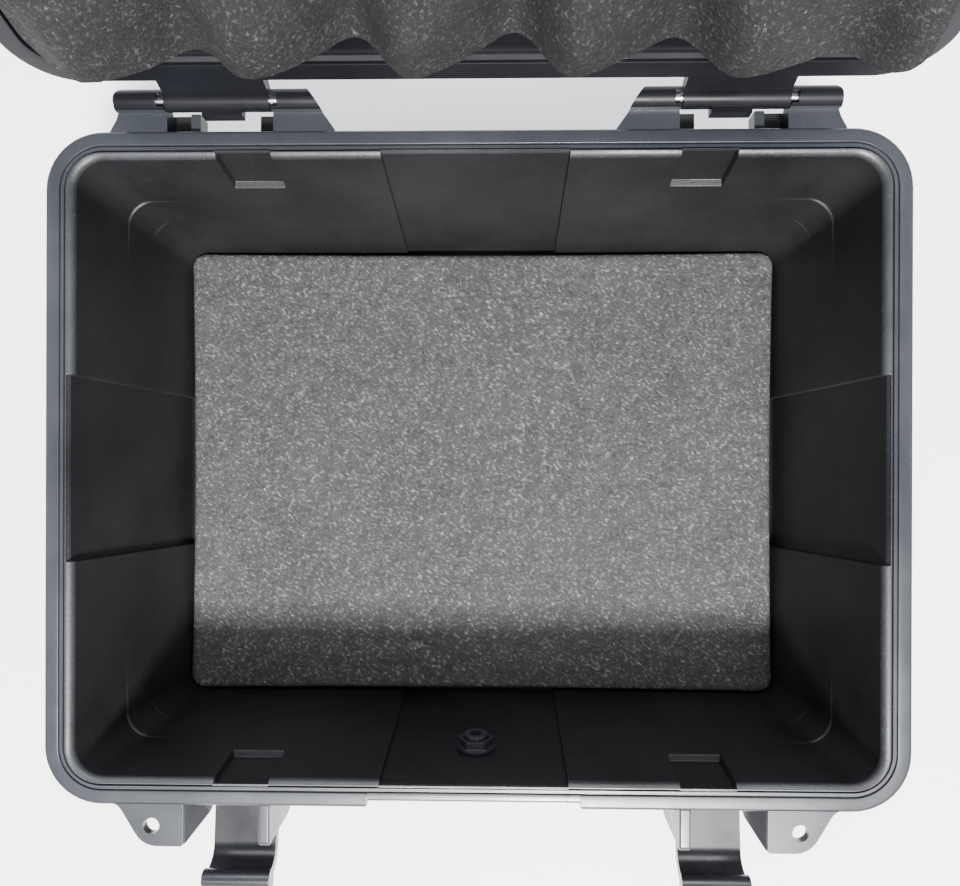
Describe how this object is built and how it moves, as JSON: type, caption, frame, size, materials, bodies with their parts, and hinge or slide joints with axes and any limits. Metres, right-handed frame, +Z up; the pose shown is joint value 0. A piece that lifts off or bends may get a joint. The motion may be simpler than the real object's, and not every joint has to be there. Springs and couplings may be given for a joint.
{
  "type": "hard equipment case",
  "caption": "Small deep hard case, open, with foam-lined hinged lid, snap latches, folding handle, pressure valve and foam floor pad.",
  "frame": {"origin": "centre of the flat skid panel under the base, on the plane that the case rests on", "axes": "+Z up, +X to the right seen from the front, +Y from the latches towards the hinges"},
  "size_m": [0.34, 0.4352, 0.3881],
  "materials": {
    "shell": "satin",
    "fitting": "satin",
    "foam": "matte",
    "seal": "matte",
    "steel": "satin",
    "membrane": "matte"
  },
  "bodies": {
    "base": {"base_shell": "shell", "floor_pad": "foam", "hinge_pin_left": "steel", "hinge_pin_right": "steel", "latch_pin_left": "steel", "latch_pin_right": "steel", "handle_pin_left": "steel", "handle_pin_right": "steel", "valve_body": "fitting", "valve_gasket": "seal", "valve_nut": "fitting", "valve_membrane": "membrane", "valve_cap": "fitting"},
    "lid": {"lid_shell": "shell", "lid_gasket": "seal", "lid_foam": "foam"},
    "latch_left": {"latch_left": "fitting"},
    "latch_right": {"latch_right": "fitting"},
    "handle": {"handle_frame": "fitting", "handle_grip": "seal"}
  },
  "joints": [
    {"name": "lid_hinge", "type": "hinge", "parent": "base", "child": "lid", "pos_m": [0, 0.144, 0.105], "axis": [1, 0, 0], "range_deg": [0, 105]},
    {"name": "latch_left_hinge", "type": "hinge", "parent": "base", "child": "latch_left", "pos_m": [-0.0994, -0.137, 0.077], "axis": [1, 0, 0], "range_deg": [-85, 0]},
    {"name": "latch_right_hinge", "type": "hinge", "parent": "base", "child": "latch_right", "pos_m": [0.0994, -0.137, 0.077], "axis": [1, 0, 0], "range_deg": [-85, 0]},
    {"name": "handle_hinge", "type": "hinge", "parent": "base", "child": "handle", "pos_m": [0, -0.1295, 0.084], "axis": [1, 0, 0], "range_deg": [-90, 0]}
  ]
}
